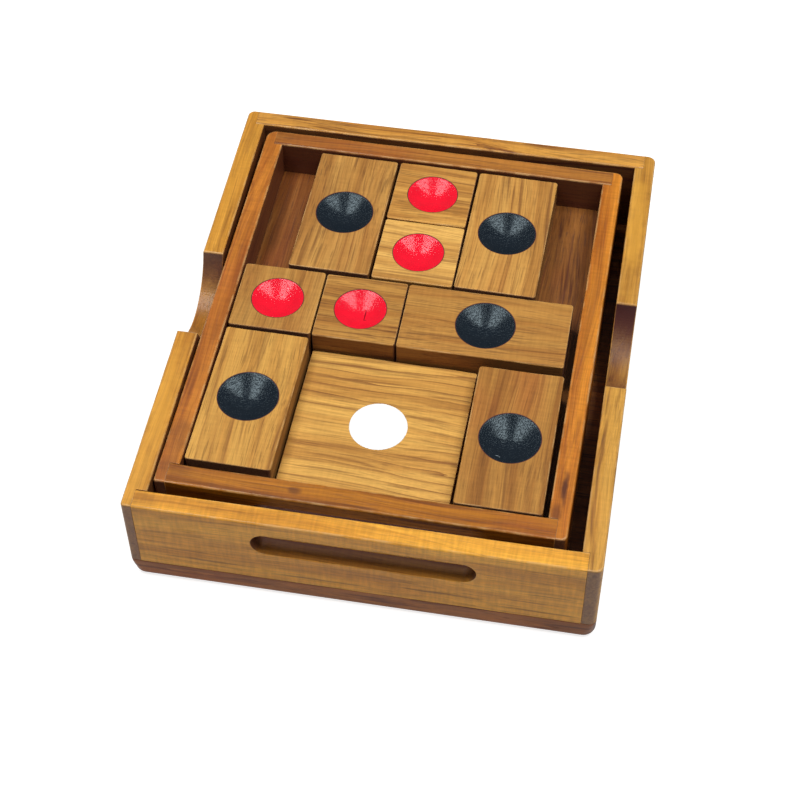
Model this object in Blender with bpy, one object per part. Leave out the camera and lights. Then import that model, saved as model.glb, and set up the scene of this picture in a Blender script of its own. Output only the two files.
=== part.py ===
"""Sliding-block puzzle: ten loose wooden blocks in a tray, which sits in a case.

Metres, +Z up. The case stands on z = 0 with its middle over the origin and its width along X. Its front,
at -Y, has the slot through which the thin king block leaves.
"""

import math
from typing import NamedTuple

import bmesh
import bpy
from mathutils import Matrix, Vector

MM = 0.001
GAP = 0.3 * MM  # left between pieces that touch or are glued

# Blocks, counted in cells of one small block
BLOCK = 17.8 * MM
BLOCK_HEIGHT = 7.5 * MM
KING_HEIGHT = 3.1 * MM
KING_CELLS = 2
CELLS_ACROSS = 4
CELLS_DEEP = 5
BLOCK_EDGE = 0.35 * MM
LONG_DIMPLE_RADIUS = 6.4 * MM
LONG_DIMPLE_DEPTH = 2.6 * MM
SMALL_DIMPLE_RADIUS = 5.65 * MM
SMALL_DIMPLE_DEPTH = 2.3 * MM
DIMPLE_TIP_RADIUS = 0.4 * MM
DIMPLE_SIDES = 40

# Tray
PLAY_ACROSS = 2.8 * MM  # all the free width beside four blocks
PLAY_DEEP = 4.3 * MM
TRAY_WALL = 4.3 * MM
TRAY_FRONT_WALL = 4.9 * MM
TRAY_TONGUE = 2.3 * MM  # what is left of a side wall where an end wall is let into it
TRAY_FLOOR = 3.5 * MM
RIM_ABOVE_BLOCKS = 0.7 * MM
TRAY_SHIFT = Vector((-1.05 * MM, 1.1 * MM, 0))  # the tray lies loosely, towards the back left
TRAY_TURN = math.radians(-0.5)

# Case
CASE_HEIGHT = 24.0 * MM
CASE_WALL = 4.5 * MM
CASE_END_WALL = 4.3 * MM
CASE_PANEL = 5.2 * MM
CASE_ABOVE_TRAY = 0.7 * MM
CLEARANCE_ACROSS = 3.4 * MM  # all the free width beside the tray
CLEARANCE_DEEP = 3.9 * MM
PANEL_ROUND = 1.6 * MM
PANEL_ROUND_STEPS = 4
PANEL_CORNER = 3.0 * MM  # the corners are sanded rounder towards the underside
PANEL_CORNER_STEPS = 3

# Each outer corner is sanded by hand: its rounding, by the end and the side that meet there
TRAY_CORNERS = {
    ("back", "left"): 2.3 * MM,
    ("back", "right"): 1.7 * MM,
    ("front", "left"): 0.7 * MM,
    ("front", "right"): 1.3 * MM,
}
CASE_CORNERS = {
    ("back", "left"): 1.5 * MM,
    ("back", "right"): 1.8 * MM,
    ("front", "left"): 0.9 * MM,
    ("front", "right"): 1.6 * MM,
}
# The case's front wall is let in deeper on the left than on the right
CASE_TONGUES = {
    ("back", "left"): 2.5 * MM,
    ("back", "right"): 2.5 * MM,
    ("front", "left"): 2.2 * MM,
    ("front", "right"): 3.0 * MM,
}

# Edges and openings
EDGE = 0.4 * MM
CORNER_STEPS = 5
CASE_SLOT_SHIFT = 0.7 * MM  # to the right of the case's middle
SLOT_BESIDE_KING = 4.7 * MM
SLOT_ABOVE_KING = 1.9 * MM
SLOT_BELOW_KING = 1.3 * MM
SLOT_END_STEPS = 12
NOTCH_WIDTH = 23.0 * MM
NOTCH_DEPTH = 8.9 * MM
NOTCH_SIDES = 72
OVERCUT = 1.0 * MM  # how far a cutter stands out of what it cuts

# Heights
TRAY_TOP = CASE_HEIGHT - CASE_ABOVE_TRAY
TRAY_BOTTOM = CASE_PANEL + GAP
BLOCK_BOTTOM = TRAY_TOP - RIM_ABOVE_BLOCKS - BLOCK_HEIGHT
FLOOR_TOP = BLOCK_BOTTOM - GAP
SLOT_BOTTOM = BLOCK_BOTTOM - SLOT_BELOW_KING
SLOT_TOP = BLOCK_BOTTOM + KING_HEIGHT + SLOT_ABOVE_KING

# Plan sizes
TRAY_INSIDE = Vector((CELLS_ACROSS * BLOCK + PLAY_ACROSS, CELLS_DEEP * BLOCK + PLAY_DEEP))
TRAY_OUTSIDE = TRAY_INSIDE + Vector((2 * TRAY_WALL, TRAY_WALL + TRAY_FRONT_WALL))
CASE_INSIDE = TRAY_OUTSIDE + Vector((CLEARANCE_ACROSS, CLEARANCE_DEEP))
CASE_OUTSIDE = CASE_INSIDE + Vector((2 * CASE_WALL, 2 * CASE_END_WALL))
SLOT_WIDTH = KING_CELLS * BLOCK + 2 * SLOT_BESIDE_KING

# Linear colour and roughness
CASE_TIMBER = ((0.66, 0.33, 0.07), 0.35)
TRAY_TIMBER = ((0.56, 0.22, 0.05), 0.38)
BLOCK_TIMBER = ((0.55, 0.32, 0.11), 0.5)

# Each loose block: name, first column, first row, cells across, cells deep, then how far it has drifted
# from a tight pack at the back left: right and forward in millimetres, and its turn in degrees.
LONG_BLOCKS = (
    ("long_block_back_left", 0.5, 0, 1, 2, 0.45, 0.35, -0.2),
    ("long_block_back_right", 2.5, 0, 1, 2, 1.55, 0.55, -0.5),
    ("long_block_across", 2, 2, 2, 1, 0.95, 1.35, 0.3),
    ("long_block_front_left", 0, 3, 1, 2, 0.3, 2.25, -0.3),
    ("long_block_front_right", 3, 3, 1, 2, 1.55, 3.55, 0.3),
)
SMALL_BLOCKS = (
    ("small_block_back", 1.5, 0, 1, 1, 1.1, 0.37, -0.4),
    ("small_block_second", 1.5, 1, 1, 1, 1.05, 0.7, -0.1),
    ("small_block_left", 0, 2, 1, 1, 0.3, 1.35, 0.3),
    ("small_block_middle", 1, 2, 1, 1, 0.65, 1.4, 0.4),
)
KING_BLOCK = ("king_block", 1, 3, KING_CELLS, KING_CELLS, 0.8, 2.0, -0.4)


class WallPlan(NamedTuple):
    """Plan of four walls about the middle of the space that they enclose."""

    inside: Vector
    side: float  # thickness of the left and right walls
    back: float
    front: float
    corners: dict
    tongues: dict  # what is left of a side wall where an end wall is let into it


TRAY_PLAN = WallPlan(
    TRAY_INSIDE,
    TRAY_WALL,
    TRAY_WALL,
    TRAY_FRONT_WALL,
    TRAY_CORNERS,
    dict.fromkeys(TRAY_CORNERS, TRAY_TONGUE),
)
CASE_PLAN = WallPlan(CASE_INSIDE, CASE_WALL, CASE_END_WALL, CASE_END_WALL, CASE_CORNERS, CASE_TONGUES)


def clear_scene():
    for obj in list(bpy.data.objects):
        bpy.data.objects.remove(obj, do_unlink=True)


def give_material(obj, timber):
    colour, roughness = timber
    material = bpy.data.materials.new(obj.name)
    material.use_nodes = True
    shader = material.node_tree.nodes["Principled BSDF"]
    shader.inputs["Base Color"].default_value = (*colour, 1)
    shader.inputs["Roughness"].default_value = roughness
    material.diffuse_color = (*colour, 1)
    obj.data.materials.append(material)


def object_from(bm, name, parent=None):
    mesh = bpy.data.meshes.new(name)
    bmesh.ops.recalc_face_normals(bm, faces=bm.faces)
    bm.to_mesh(mesh)
    bm.free()
    obj = bpy.data.objects.new(name, mesh)
    obj.parent = parent
    bpy.context.scene.collection.objects.link(obj)
    return obj


def empty(name, location, turn=0.0):
    obj = bpy.data.objects.new(name, None)
    obj.location = location
    obj.rotation_euler.z = turn
    bpy.context.scene.collection.objects.link(obj)
    return obj


def soften(obj, width):
    """Takes the edge off every sharp edge; it comes before the cuts, which stay crisp."""
    bevel = obj.modifiers.new("Soft edges", "BEVEL")
    bevel.width = width
    bevel.segments = 1
    bevel.limit_method = "ANGLE"
    bevel.angle_limit = math.radians(40)


def cut(obj, cutter, name):
    cutter.hide_render = True
    cutter.display_type = "WIRE"
    boolean = obj.modifiers.new(name, "BOOLEAN")
    boolean.operation = "DIFFERENCE"
    boolean.solver = "EXACT"
    boolean.object = cutter


def arc(centre, radius, start, end, steps):
    """Points on a circle about centre, from one angle to another, both ends included."""
    angles = [start + (end - start) * i / steps for i in range(steps + 1)]
    return [(centre[0] + radius * math.cos(a), centre[1] + radius * math.sin(a)) for a in angles]


def prism(outline, bottom, top):
    bm = bmesh.new()
    base = bm.faces.new([bm.verts.new((x, y, bottom)) for x, y in outline])
    side = bmesh.ops.extrude_face_region(bm, geom=[base])["geom"]
    verts = [v for v in side if isinstance(v, bmesh.types.BMVert)]
    bmesh.ops.translate(bm, verts=verts, vec=(0, 0, top - bottom))
    return bm


def rounded_rectangle(size, radii):
    """Its corners go round from the back right, as the radii do."""
    signs = ((1, 1), (-1, 1), (-1, -1), (1, -1))
    points = []
    for quarter, (radius, sign) in enumerate(zip(radii, signs)):
        centre = (sign[0] * (size.x / 2 - radius), sign[1] * (size.y / 2 - radius))
        start = quarter * math.pi / 2
        points += arc(centre, radius, start, start + math.pi / 2, CORNER_STEPS)
    return points


def side_wall_outline(plan, side):
    """A side wall runs the full depth, with a step at each end that takes an end wall."""
    outer = plan.inside.x / 2 + plan.side
    shoulder = plan.inside.y / 2 - GAP

    def half(end, thickness):
        corner = plan.corners[end, side]
        tip = plan.inside.y / 2 + thickness
        cheek = outer - plan.tongues[end, side]
        points = arc((outer - corner, tip - corner), corner, 0, math.pi / 2, CORNER_STEPS)
        return points + [(cheek, tip), (cheek, shoulder), (outer - plan.side, shoulder)]

    back = half("back", plan.back)
    front = [(x, -y) for x, y in reversed(half("front", plan.front))]
    sign = 1 if side == "right" else -1
    return [(sign * x, y) for x, y in back + front]


def end_wall_outline(plan, end):
    """An end wall's ends reach into the steps of the side walls."""
    sign, thickness = (1, plan.back) if end == "back" else (-1, plan.front)
    reach = plan.inside.x / 2 + plan.side - GAP
    right = reach - plan.tongues[end, "right"]
    left = plan.tongues[end, "left"] - reach
    inner = sign * plan.inside.y / 2
    outer = inner + sign * thickness
    return [(right, inner), (right, outer), (left, outer), (left, inner)]


def wall_board(name, outline, bottom, top, timber, parent):
    obj = object_from(prism(outline, bottom, top), name, parent)
    give_material(obj, timber)
    soften(obj, EDGE)
    return obj


def four_walls(kind, plan, bottom, top, timber, parent):
    """The walls of a box, by the side they stand on."""
    outlines = {side: side_wall_outline(plan, side) for side in ("left", "right")}
    outlines |= {end: end_wall_outline(plan, end) for end in ("back", "front")}
    return {
        place: wall_board(f"{kind}_wall_{place}", outline, bottom, top, timber, parent)
        for place, outline in outlines.items()
    }


def slot_cutter(name, plan, shift, parent):
    """A bar with round ends, lying through a front wall."""
    radius = (SLOT_TOP - SLOT_BOTTOM) / 2
    reach = SLOT_WIDTH / 2 - radius
    outline = arc((reach, 0), radius, -math.pi / 2, math.pi / 2, SLOT_END_STEPS)
    outline += arc((-reach, 0), radius, math.pi / 2, 3 * math.pi / 2, SLOT_END_STEPS)
    half_length = plan.front / 2 + OVERCUT
    bm = prism(outline, -half_length, half_length)
    bmesh.ops.rotate(bm, verts=bm.verts, matrix=Matrix.Rotation(math.pi / 2, 3, "X"))
    cutter = object_from(bm, name, parent)
    wall_middle = -(plan.inside.y + plan.front) / 2
    cutter.location = (shift, wall_middle, (SLOT_TOP + SLOT_BOTTOM) / 2)
    return cutter


def notch_cutter(name, wall_middle, parent):
    """A cylinder lying across a side wall, whose lowest part scoops out the finger notch."""
    half_width = NOTCH_WIDTH / 2
    radius = (half_width**2 + NOTCH_DEPTH**2) / (2 * NOTCH_DEPTH)
    bm = bmesh.new()
    bmesh.ops.create_cone(
        bm,
        cap_ends=True,
        segments=NOTCH_SIDES,
        radius1=radius,
        radius2=radius,
        depth=CASE_WALL + 2 * OVERCUT,
        matrix=Matrix.Rotation(math.pi / 2, 4, "Y"),
    )
    cutter = object_from(bm, name, parent)
    cutter.location = (wall_middle, 0, CASE_HEIGHT - NOTCH_DEPTH + radius)
    return cutter


def panel_levels():
    """(height, inset, share of the way to the rounder lower corners), from the underside up."""
    levels = []
    for step in range(PANEL_ROUND_STEPS + 1):
        angle = step / PANEL_ROUND_STEPS * math.pi / 2
        levels.append((PANEL_ROUND * (1 - math.cos(angle)), PANEL_ROUND * (1 - math.sin(angle)), 1))
    for step in range(1, PANEL_CORNER_STEPS + 1):
        share = step / PANEL_CORNER_STEPS
        levels.append((PANEL_ROUND + (CASE_PANEL - PANEL_ROUND) * share, 0, 1 - share**2))
    return levels


def bottom_panel(parent):
    """The case's panel: outlines stacked upwards, so that the lower edge is a quarter round."""
    order = (("back", "right"), ("back", "left"), ("front", "left"), ("front", "right"))
    bm = bmesh.new()
    rings = []
    for height, inset, rounder in panel_levels():
        size = CASE_OUTSIDE - Vector((2 * inset, 2 * inset))
        radii = [CASE_CORNERS[place] + (PANEL_CORNER - CASE_CORNERS[place]) * rounder for place in order]
        rings.append([bm.verts.new((x, y, height)) for x, y in rounded_rectangle(size, radii)])
    bm.faces.new(rings[0])
    bm.faces.new(rings[-1])
    for lower, upper in zip(rings, rings[1:]):
        for i in range(len(lower)):
            j = (i + 1) % len(lower)
            bm.faces.new((lower[i], lower[j], upper[j], upper[i]))
    panel = object_from(bm, "case_bottom_panel", parent)
    give_material(panel, CASE_TIMBER)
    panel.data.shade_smooth()
    panel.data.set_sharp_from_angle(angle=math.radians(35))


def build_case():
    frame = empty("case_frame", (0, 0, 0))
    bottom_panel(frame)
    walls = four_walls("case", CASE_PLAN, CASE_PANEL + GAP, CASE_HEIGHT, CASE_TIMBER, frame)
    cut(walls["front"], slot_cutter("case_slot_cutter", CASE_PLAN, CASE_SLOT_SHIFT, frame), "Slot")
    for place, sign in (("left", -1), ("right", 1)):
        wall_middle = sign * (CASE_OUTSIDE.x - CASE_WALL) / 2
        cut(walls[place], notch_cutter(f"notch_cutter_{place}", wall_middle, frame), "Notch")


def tray_floor(parent):
    half_x = TRAY_INSIDE.x / 2 - GAP
    half_y = TRAY_INSIDE.y / 2 - GAP
    outline = [(half_x, half_y), (-half_x, half_y), (-half_x, -half_y), (half_x, -half_y)]
    floor = object_from(prism(outline, FLOOR_TOP - TRAY_FLOOR, FLOOR_TOP), "tray_floor", parent)
    give_material(floor, TRAY_TIMBER)


def build_tray():
    frame = empty("tray_frame", TRAY_SHIFT, TRAY_TURN)
    tray_floor(frame)
    walls = four_walls("tray", TRAY_PLAN, TRAY_BOTTOM, TRAY_TOP, TRAY_TIMBER, frame)
    cut(walls["front"], slot_cutter("tray_slot_cutter", TRAY_PLAN, 0, frame), "Slot")
    return frame


def loose_block(place, height, tray):
    """A plain block on the tray's floor, with its origin in the middle of its underside."""
    name, column, row, across, deep, drift_right, drift_forward, turn = place
    half = Vector((across, deep)) * BLOCK / 2
    outline = [(half.x, half.y), (-half.x, half.y), (-half.x, -half.y), (half.x, -half.y)]
    block = object_from(prism(outline, 0, height), name, tray)
    block.location = (
        -TRAY_INSIDE.x / 2 + column * BLOCK + half.x + drift_right * MM,
        TRAY_INSIDE.y / 2 - row * BLOCK - half.y - drift_forward * MM,
        BLOCK_BOTTOM,
    )
    block.rotation_euler.z = math.radians(turn)
    give_material(block, BLOCK_TIMBER)
    soften(block, BLOCK_EDGE)
    return block


def cut_dimple(block, height, radius, depth):
    """A shallow cone in the middle of the block's top, as a countersink leaves it."""
    slope = (radius - DIMPLE_TIP_RADIUS) / depth
    bm = bmesh.new()
    bmesh.ops.create_cone(
        bm,
        cap_ends=True,
        segments=DIMPLE_SIDES,
        radius1=DIMPLE_TIP_RADIUS,
        radius2=radius + slope * OVERCUT,
        depth=depth + OVERCUT,
    )
    cutter = object_from(bm, f"{block.name}_dimple_cutter", block)
    cutter.location.z = height + (OVERCUT - depth) / 2
    cut(block, cutter, "Dimple")


def build_blocks(tray):
    for place in LONG_BLOCKS:
        block = loose_block(place, BLOCK_HEIGHT, tray)
        cut_dimple(block, BLOCK_HEIGHT, LONG_DIMPLE_RADIUS, LONG_DIMPLE_DEPTH)
    for place in SMALL_BLOCKS:
        block = loose_block(place, BLOCK_HEIGHT, tray)
        cut_dimple(block, BLOCK_HEIGHT, SMALL_DIMPLE_RADIUS, SMALL_DIMPLE_DEPTH)
    loose_block(KING_BLOCK, KING_HEIGHT, tray)


def main():
    clear_scene()
    build_case()
    build_blocks(build_tray())
    bpy.context.view_layer.update()


main()
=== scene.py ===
import math
from typing import NamedTuple

import bmesh
import bpy
from bpy.props import FloatProperty, FloatVectorProperty, PointerProperty
from mathutils import Matrix, Vector, noise


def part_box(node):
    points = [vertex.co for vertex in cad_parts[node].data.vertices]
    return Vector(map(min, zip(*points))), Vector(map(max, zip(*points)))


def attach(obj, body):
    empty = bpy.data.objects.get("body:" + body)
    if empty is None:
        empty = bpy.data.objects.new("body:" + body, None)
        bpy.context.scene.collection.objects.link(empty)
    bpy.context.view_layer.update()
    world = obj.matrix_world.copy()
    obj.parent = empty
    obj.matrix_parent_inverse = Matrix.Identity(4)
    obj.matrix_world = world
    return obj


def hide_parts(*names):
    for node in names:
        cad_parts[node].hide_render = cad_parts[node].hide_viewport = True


bl_info = {
    "name": "Sliding-block puzzle",
    "version": (1, 0, 0),
    "blender": (4, 5, 0),
    "location": "3D View > Sidebar > Block Puzzle",
    "description": "Finished wood, paint and studio for a sliding-block puzzle in its case",
    "category": "Object",
}

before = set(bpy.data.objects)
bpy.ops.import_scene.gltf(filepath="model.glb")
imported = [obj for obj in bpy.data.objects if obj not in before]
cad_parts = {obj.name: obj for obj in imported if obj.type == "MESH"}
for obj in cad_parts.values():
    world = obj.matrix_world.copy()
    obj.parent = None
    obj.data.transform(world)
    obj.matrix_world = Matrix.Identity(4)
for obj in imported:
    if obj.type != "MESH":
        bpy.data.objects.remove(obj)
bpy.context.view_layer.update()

MM = 0.001
PER_MM = (1 / MM,) * 3
WHITE = (1, 1, 1, 1)
GLUE_GAP = 0.3 * MM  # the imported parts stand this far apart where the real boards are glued
SPLIT = 3.5 * MM  # a long edge is worn in lengths of about this
CORNER_STEPS = 8
NOTCH_SIDES = 128
SLOT_END_STEPS = 20
BLOCK_CORNER_STEPS = 6
BLOCK_EDGE_STEPS = 4
BLOCK_PIECE = 0.6 * MM  # spacing of the points along a block's edges
DIMPLE_STEPS = 10
DIMPLE_CURVE = 1.3  # 1 for a straight cone
PAINT_SIDES = 120
PAINT_STEPS = 24
PANEL_ROUND_STEPS = 9
PANEL_SIDE_STEPS = 6
OVERCUT = 1.0 * MM
CLOSE = 0.02 * MM  # points nearer than this count as one
SHARP_ANGLE = math.radians(28)
SAME_WAY = 0.99  # cosine above which two faces count as lying the same way

# Share of painted shade: a darker colour that stands in for the shade inside the case and tray, in the slot
# and notches, on the blocks' sides and down the dimples
INSIDE_PAINTED_SHADE = 0.78
# Painted shade in the slot, growing towards the inner face, which lies deeper in shade
SLOT_PAINTED_SHADE = (0.35, 0.97)  # at the outer face and at the inner face
# Painted shade in the finger notches, darker in the right one
NOTCH_PAINTED_SHADE = {"left": 0.10, "right": 0.46}
# More painted shade where the notch is steep
NOTCH_END_PAINTED_SHADE = 0.55  # added where the notch is steep
# Painted shade on the blocks' upright sides
BLOCK_SIDE_PAINTED_SHADE = 0.5
# Painted shade on the dimples' wood, which shows as a dark ring at the paint's edge
DIMPLE_PAINTED_SHADE = 1.0

# The wood's figure: how fast each part changes along, across and up through the grain, per millimetre
DRIFT = (0.011, 0.035, 0.035)
BROAD = (0.013, 0.24, 0.24)
STREAK = (0.022, 0.95, 0.95)
FIBRE = (0.06, 3.0, 3.0)
PORE = (0.15, 3.6, 3.6)
PATCH = (0.03, 0.07, 0.07)
FLECK = (1.5, 0.22, 0.22)
SPECKLE = (2.2, 2.2, 2.2)
RUB = (0.25, 0.25, 0.25)
DRIFT_REACH = 9.0  # how many millimetres the grain wanders to either side
RINGS_PER_MM = 0.42
RING_TILT = 0.45  # how much the growth rings lean
RING_WANDER = 2.2
RING_SHARPNESS = 7.0
BAND_TONE = (0.62, 0.58, 0.55)
PORE_TONE = (0.5, 0.5, 0.5)
BUMP_HEIGHT = 0.05 * MM

# The paint's unevenness, per millimetre
CLOUDS = (0.5, 0.5, 0.5)
BRUSH = (2.6, 2.6, 2.6)
PITS = (3.1, 3.1, 3.1)
PAINT_SPECULAR = 0.38
PAINT_SPECULAR_TINT = (0.75, 0.93, 1, 1)

# How round each outer corner is sanded, by the end and the side that meet there
CASE_CORNERS = {
    ("back", "left"): 1.5 * MM,
    ("back", "right"): 1.8 * MM,
    ("front", "left"): 0.9 * MM,
    ("front", "right"): 1.6 * MM,
}
TRAY_CORNERS = {
    ("back", "left"): 2.3 * MM,
    ("back", "right"): 1.7 * MM,
    ("front", "left"): 0.7 * MM,
    ("front", "right"): 1.3 * MM,
}
PLACES = (("back", "right"), ("back", "left"), ("front", "left"), ("front", "right"))
SIGNS = ((1, 1), (-1, 1), (-1, -1), (1, -1))  # of x and y at the same four corners
WALLS = ("front", "back", "left", "right")


class Board(NamedTuple):
    """How the wood of one piece looks: which way its grain runs and how strong its figure is."""

    grain: str
    seed: float
    tone: tuple = (1.0, 1.0, 1.0)  # lighter above 1, for each of red, green and blue
    red: float = 0.2  # share of redder patches
    bands: float = 0.7  # broad darker and lighter bands along the grain
    streaks: float = 0.5  # narrow dark streaks
    lines: float = 0.3  # thin growth lines
    fleck: float = 0.05  # fine flecks across the grain
    pores: float = 0.4  # short dark pores along the grain
    marks: tuple = ()  # (x, y, z, half sizes along x, y, z in mm, strength) of darker or paler spots


FRONT_MARKS = (
    (-44, -55.4, 24, 5, 3, 3, 0.30),
    (-30, -57.5, 8.6, 15, 2, 0.45, 0.55),
    (-9, -57.5, 7.4, 13, 2, 0.40, 0.50),
    (14, -57.5, 8.9, 15, 2, 0.45, 0.55),
    (35, -57.5, 7.3, 11, 2, 0.45, 0.50),
    (34, -57.5, 10.2, 10, 2, 0.35, 0.45),
    (4, -57.5, 11.0, 10, 2, 0.35, 0.35),
    (39, -57.5, 13.0, 7, 2, 0.40, 0.40),
    (-36, -57.5, 11.2, 8, 2, 0.35, 0.35),
    (-30, -57.5, 16.5, 7, 2, 0.30, 0.30),
    (36, -57.5, 17.5, 8, 2, 0.30, 0.25),
)
LEFT_MARKS = (
    (-45.2, -32, 24, 3, 22, 4, -0.4),
    (-45.2, -50, 24, 3, 8, 3, -0.2),
    (-45.2, 49, 24, 2, 7, 3, 0.15),
)
RIGHT_MARKS = (
    (45.2, 34, 24, 3, 24, 4, -0.45),
    (45.2, 20, 24, 1, 7, 2, 0.15),
    (44.4, -26, 24, 0.6, 9, 2, 0.3),
)
RIM_FRONT_MARKS = (
    (-13, -49.1, 12, 2.2, 1.3, 3, 0.65),
    (-37, -48, 12, 4, 3, 3, 0.3),
    (20, -50, 12, 10, 0.5, 2, 0.25),
)
RIM_LEFT_MARKS = (
    (-39, -40, 12, 3, 8, 3, 0.40),
    (-39, -48, 12, 3, 5, 3, 0.45),
    (-39.6, -26, 12, 0.7, 7, 3, 0.3),
    (-38.4, -12, 12, 0.8, 5, 3, 0.25),
)
RIM_RIGHT_MARKS = (
    (39.3, -39, 12, 0.9, 6, 3, 0.95),
    (38.4, -45.5, 12, 1.6, 3.5, 3, 0.6),
    (40.0, -24, 12, 0.5, 5, 3, 0.3),
    (39.1, 10, 12, 2, 24, 3, -0.1),
)
CASE_BOARDS = {
    "case_bottom_panel": Board("X", 3.0, (0.48, 0.31, 0.36), 0.4, 0.9, 1.0, 0.6),
    "case_wall_front": Board("X", 11.0, (1.04, 0.94, 0.56), 0.15, 0.5, 0.45, 0.3, 0.12, 0.2, FRONT_MARKS),
    "case_wall_back": Board("X", 27.0, (0.84, 0.77, 0.84), 0.2, 1.0, 1.0, 0.9, 0.05, 0.5),
    "case_wall_left": Board("Y", 35.0, (0.82, 0.73, 0.53), 0.3, 0.6, 0.6, 0.3, 0.05, 0.2, LEFT_MARKS),
    "case_wall_right": Board("Y", 48.0, (0.78, 0.76, 0.78), 0.1, 0.7, 0.7, 0.4, 0.05, 0.2, RIGHT_MARKS),
}
TRAY_BOARDS = {
    "tray_floor": Board("Y", 5.0, (0.43, 0.41, 0.52), 0.3, 0.9, 0.9, 0.5, 0.05),
    "tray_wall_front": Board("X", 14.0, (0.70, 0.62, 0.18), 0.3, 1.0, 0.7, 0.4, 0.06, 0.3, RIM_FRONT_MARKS),
    "tray_wall_back": Board("X", 22.0, (0.66, 0.63, 0.64), 0.3, 0.9, 0.8, 0.4, 0.06, 0.3),
    "tray_wall_left": Board("Y", 33.0, (0.86, 0.74, 0.53), 0.4, 0.8, 0.5, 0.3, 0.09, 0.2, RIM_LEFT_MARKS),
    "tray_wall_right": Board("Y", 46.0, (0.97, 0.84, 0.45), 0.15, 0.9, 0.6, 0.3, 0.09, 0.2, RIM_RIGHT_MARKS),
}
LONG_BLOCKS = {
    "long_block_back_left": Board("Y", 7.0, (0.89, 0.78, 0.67), 0.1, 0.9, 0.7, 0.5),
    "long_block_back_right": Board("Y", 18.0, (1.07, 0.98, 0.85), 0.1, 1.0, 0.8, 0.5),
    "long_block_across": Board("X", 29.0, (0.85, 0.72, 0.56), 0.1, 0.6, 0.6, 0.3, 0.06),
    "long_block_front_left": Board("Y", 37.0, (1.09, 1.01, 0.78), 0.1, 0.8, 0.7, 0.4),
    "long_block_front_right": Board("Y", 41.0, (0.73, 0.59, 0.42), 0.3, 0.9, 0.5, 0.25, 0.06, 0.25),
}
SMALL_BLOCKS = {
    "small_block_back": Board("X", 53.0, (1.18, 1.09, 0.92), 0.1, 0.9, 0.7, 0.5),
    "small_block_second": Board("X", 61.0, (1.34, 1.33, 1.25), 0.05, 0.8, 0.7, 0.4),
    "small_block_left": Board("Y", 67.0, (0.85, 0.76, 0.63), 0.15, 0.4, 0.4, 0.2, 0.06, 0.25),
    "small_block_middle": Board("X", 71.0, (0.86, 0.74, 0.58), 0.1, 0.8, 0.8, 1.0),
}
KING_BLOCK = {"king_block": Board("X", 83.0, (1.19, 1.13, 0.92), 0.05, 0.9, 0.7, 1.0, 0.04, 0.2)}
# A fine crack in one dimple's paint and a chip in another's: (x, y, half sizes in mm, colour)
PAINT_MARKS = {
    "small_block_middle": (
        (1.0, -0.2, 0.12, 2.0, (0.08, 0.002, 0.006)),
        (1.25, -1.7, 0.40, 0.12, (0.2, 0.003, 0.01)),
    ),
    "long_block_front_right": (
        (-2.0, -4.3, 0.45, 0.12, (0.30, 0.35, 0.37)),
        (-1.5, -4.5, 0.12, 0.25, (0.2, 0.24, 0.26)),
    ),
}


def metres(name, description, default):
    return FloatProperty(name=name, description=description, default=default, unit="LENGTH")


def number(name, description, default):
    return FloatProperty(name=name, description=description, default=default)


def degrees(name, description, default):
    return FloatProperty(name=name, description=description, default=math.radians(default), subtype="ANGLE")


def shade_of(name, description, default):
    return FloatVectorProperty(
        name=name, description=description, default=default, size=3, min=0, max=1, subtype="COLOR"
    )


class PUZZLE_PG_sizes(bpy.types.PropertyGroup):
    """Sizes of the softened edges, corners and paint."""

    edge: metres("Board edge", "How far a board's outer edges are sanded round", 0.42 * MM)
    joint: metres("Joint edge", "How far the edges in a glued joint are broken", 0.09 * MM)
    cut: metres("Cut edge", "How far the edges of slots, notches and dimples are broken", 0.16 * MM)
    block_edge: metres("Block edge", "How far a loose block's edges are sanded round", 0.27 * MM)
    block_corner: metres("Block corner", "Mean radius of a block's upright corners", 0.6 * MM)
    wear: metres("Edge wear", "How unevenly the edges are sanded", 0.13 * MM)
    panel_round: metres("Panel round", "Quarter round along the panel's lower edge", 1.6 * MM)
    panel_corner: metres("Panel corner", "Radius of the panel's corners at the underside", 2.6 * MM)
    notch_width: metres("Notch width", "Width of the finger notches at the rim", 23.0 * MM)
    dimple_tip: metres("Dimple tip", "Radius of the flat tip of a dimple", 0.4 * MM)
    paint: metres("Paint", "Thickness of the paint", 0.05 * MM)
    paint_pool: metres("Paint pool", "Depth of the paint run together at a dimple's tip", 0.38 * MM)
    spot_radius: metres("Spot radius", "Radius of the king block's painted spot", 6.05 * MM)


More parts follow.
